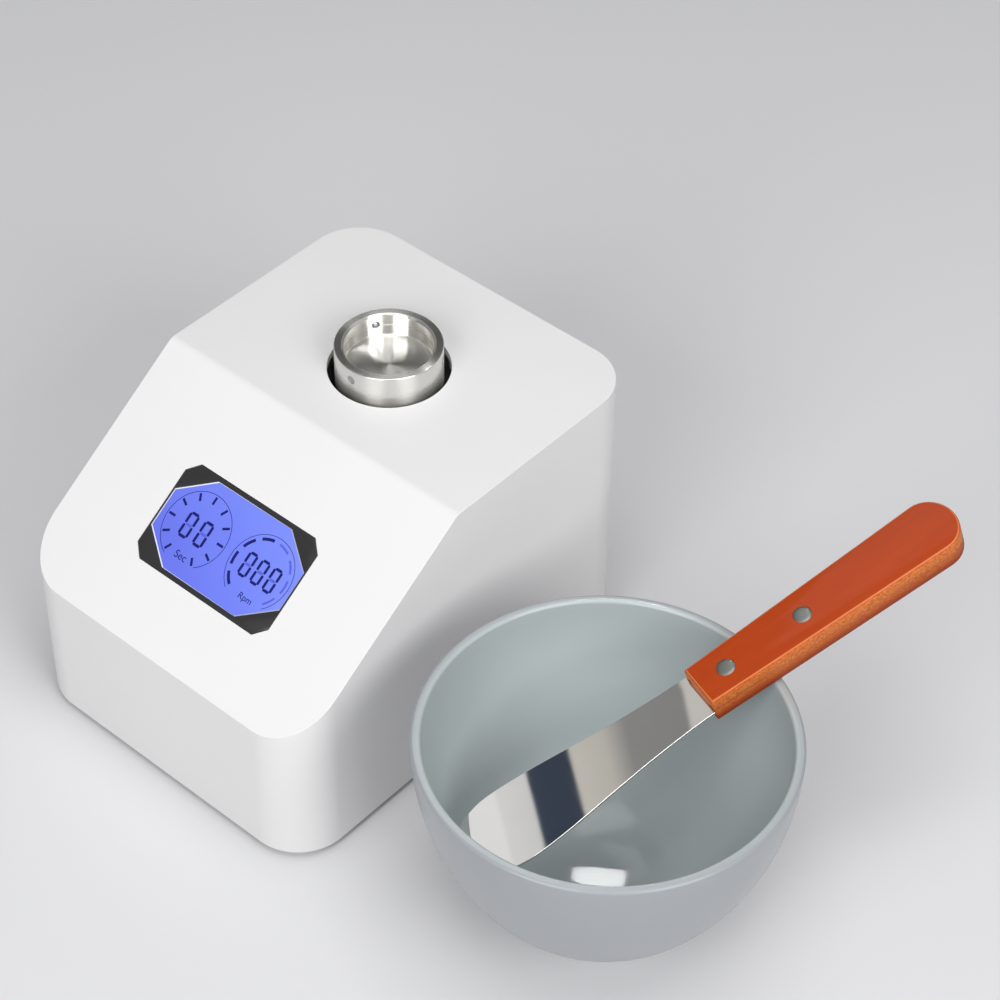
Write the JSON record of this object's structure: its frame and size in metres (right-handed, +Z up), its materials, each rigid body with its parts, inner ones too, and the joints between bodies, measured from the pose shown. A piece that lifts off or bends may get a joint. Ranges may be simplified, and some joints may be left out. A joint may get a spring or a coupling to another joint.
{
  "type": "dental impression material mixer",
  "caption": "Bench mixer for dental impression paste: wedge housing with blue display, powered chuck on top, lift-off bowl and wooden-handled spatula.",
  "frame": {"origin": "on the table, at the middle of the footprint that the machine, the bowl and the spatula cover together", "axes": "+X to the machine's right as seen by its user, towards the bowl; +Y from the user to the machine's back; +Z up"},
  "size_m": [0.306, 0.1986, 0.1292],
  "materials": {
    "housing_plastic": "satin",
    "base_steel": "satin",
    "foot_rubber": "matte",
    "fastener_steel": "satin",
    "deck_aluminium": "satin",
    "pillar_brass": "satin",
    "cartridge_aluminium": "satin",
    "bearing_steel": "polished",
    "motor_steel": "satin",
    "magnet_ferrite": "matte",
    "belt_rubber": "matte",
    "board_green": "solder mask",
    "core_steel": "varnished",
    "capacitor_sleeve": "gloss",
    "heatsink_aluminium": "anodised",
    "component_black": "matte",
    "frame_black": "gloss",
    "display_blue": "backlit",
    "guide_white": "matte",
    "inlet_black": "matte",
    "pin_brass": "plated",
    "pot_metal": "satin",
    "chuck_aluminium": "turned",
    "plunger_steel": "satin",
    "spindle_steel": "ground",
    "spring_steel": "oiled",
    "pulley_aluminium": "satin",
    "rotor_iron": "varnished",
    "ball_steel": "polished",
    "knob_grey": "matte",
    "button_green": "gloss",
    "rocker_black": "gloss",
    "bowl_rubber": "satin",
    "insert_brass": "satin",
    "stub_aluminium": "turned",
    "blade_steel": "mirror polished",
    "handle_wood": "lacquered",
    "rivet_steel": "polished"
  },
  "bodies": {
    "machine": {"housing": "housing_plastic", "base_plate": "base_steel", "rubber_feet": "foot_rubber", "foot_screws": "fastener_steel", "base_screws": "fastener_steel", "deck_plate": "deck_aluminium", "deck_pillars": "pillar_brass", "deck_screws": "fastener_steel", "bearing_cartridge": "cartridge_aluminium", "cartridge_screws": "fastener_steel", "bearing_outer_rings": "bearing_steel", "motor_can": "motor_steel", "motor_cap": "motor_steel", "motor_magnets": "magnet_ferrite", "motor_screws": "fastener_steel", "drive_belt": "belt_rubber", "supply_board": "board_green", "supply_transformer": "core_steel", "supply_capacitors": "capacitor_sleeve", "supply_heatsink": "heatsink_aluminium", "control_board": "board_green", "control_parts": "component_black", "display_frame": "frame_black", "lcd_glass": "display_blue", "light_guide": "guide_white", "display_board": "board_green", "display_screws": "fastener_steel", "mains_inlet": "inlet_black", "inlet_pins": "pin_brass", "switch_body": "inlet_black", "control_pots": "pot_metal", "start_switch": "component_black"},
    "chuck": {"chuck_cup": "chuck_aluminium", "plunger_sleeves": "plunger_steel", "grub_screws": "fastener_steel", "spindle": "spindle_steel", "spindle_circlip": "spring_steel", "bearing_inner_rings": "bearing_steel", "spindle_pulley": "pulley_aluminium"},
    "armature": {"motor_rotor": "rotor_iron", "motor_shaft": "spindle_steel", "motor_pulley": "pulley_aluminium"},
    "plunger_1": {"plunger_ball_1": "ball_steel"},
    "plunger_2": {"plunger_ball_2": "ball_steel"},
    "plunger_3": {"plunger_ball_3": "ball_steel"},
    "speed_control": {"speed_knob": "knob_grey"},
    "time_control": {"time_knob": "knob_grey"},
    "start_key": {"start_button": "button_green"},
    "rocker": {"switch_rocker": "rocker_black"},
    "mixing_bowl": {"bowl": "bowl_rubber", "bowl_insert": "insert_brass", "bowl_stub": "stub_aluminium", "stub_screw": "fastener_steel"},
    "spatula": {"spatula_blade": "blade_steel", "upper_scale": "handle_wood", "lower_scale": "handle_wood", "handle_rivets": "rivet_steel"}
  },
  "joints": [
    {"name": "chuck_spin", "type": "hinge", "parent": "machine", "child": "chuck", "pos_m": [-0.0687, 0.0294, 0.06], "axis": [0, 0, 1], "continuous": true},
    {"name": "motor_spin", "type": "hinge", "parent": "machine", "child": "armature", "pos_m": [-0.0687, -0.026, 0.06], "axis": [0, 0, 1], "continuous": true},
    {"name": "speed_turn", "type": "hinge", "parent": "machine", "child": "speed_control", "pos_m": [-0.1387, 0.022, 0.042], "axis": [-1, 0, 0], "range_deg": [-135, 135]},
    {"name": "time_turn", "type": "hinge", "parent": "machine", "child": "time_control", "pos_m": [-0.1387, -0.01, 0.042], "axis": [-1, 0, 0], "range_deg": [-135, 135]},
    {"name": "start_press", "type": "slide", "parent": "machine", "child": "start_key", "axis": [1, 0, 0], "range_m": [0, 0.0015], "stiffness_N_per_m": 1000, "springref_m": -0.0005},
    {"name": "power_rock", "type": "hinge", "parent": "machine", "child": "rocker", "pos_m": [-0.0687, 0.08625, 0.04], "axis": [-1, 0, 0], "range_deg": [0, 16]},
    {"name": "plunger_1_press", "type": "slide", "parent": "chuck", "child": "plunger_1", "axis": [0.866, 0.5, 0], "range_m": [0, 0.0005], "stiffness_N_per_m": 500, "springref_m": -0.0005},
    {"name": "plunger_2_press", "type": "slide", "parent": "chuck", "child": "plunger_2", "axis": [-0.866, 0.5, 0], "range_m": [0, 0.0005], "stiffness_N_per_m": 500, "springref_m": -0.0005},
    {"name": "plunger_3_press", "type": "slide", "parent": "chuck", "child": "plunger_3", "axis": [0, -1, 0], "range_m": [0, 0.0005], "stiffness_N_per_m": 500, "springref_m": -0.0005},
    {"name": "bowl_lift", "type": "slide", "parent": "machine", "child": "mixing_bowl", "axis": [0, 0, 1], "range_m": [0, 0.15]},
    {"name": "spatula_draw", "type": "slide", "parent": "mixing_bowl", "child": "spatula", "axis": [0.3023, 0.8983, 0.319], "range_m": [0, 0.12]}
  ],
  "couplings": [
    {"joint": "motor_spin", "follows": "chuck_spin", "ratio": 3}
  ]
}
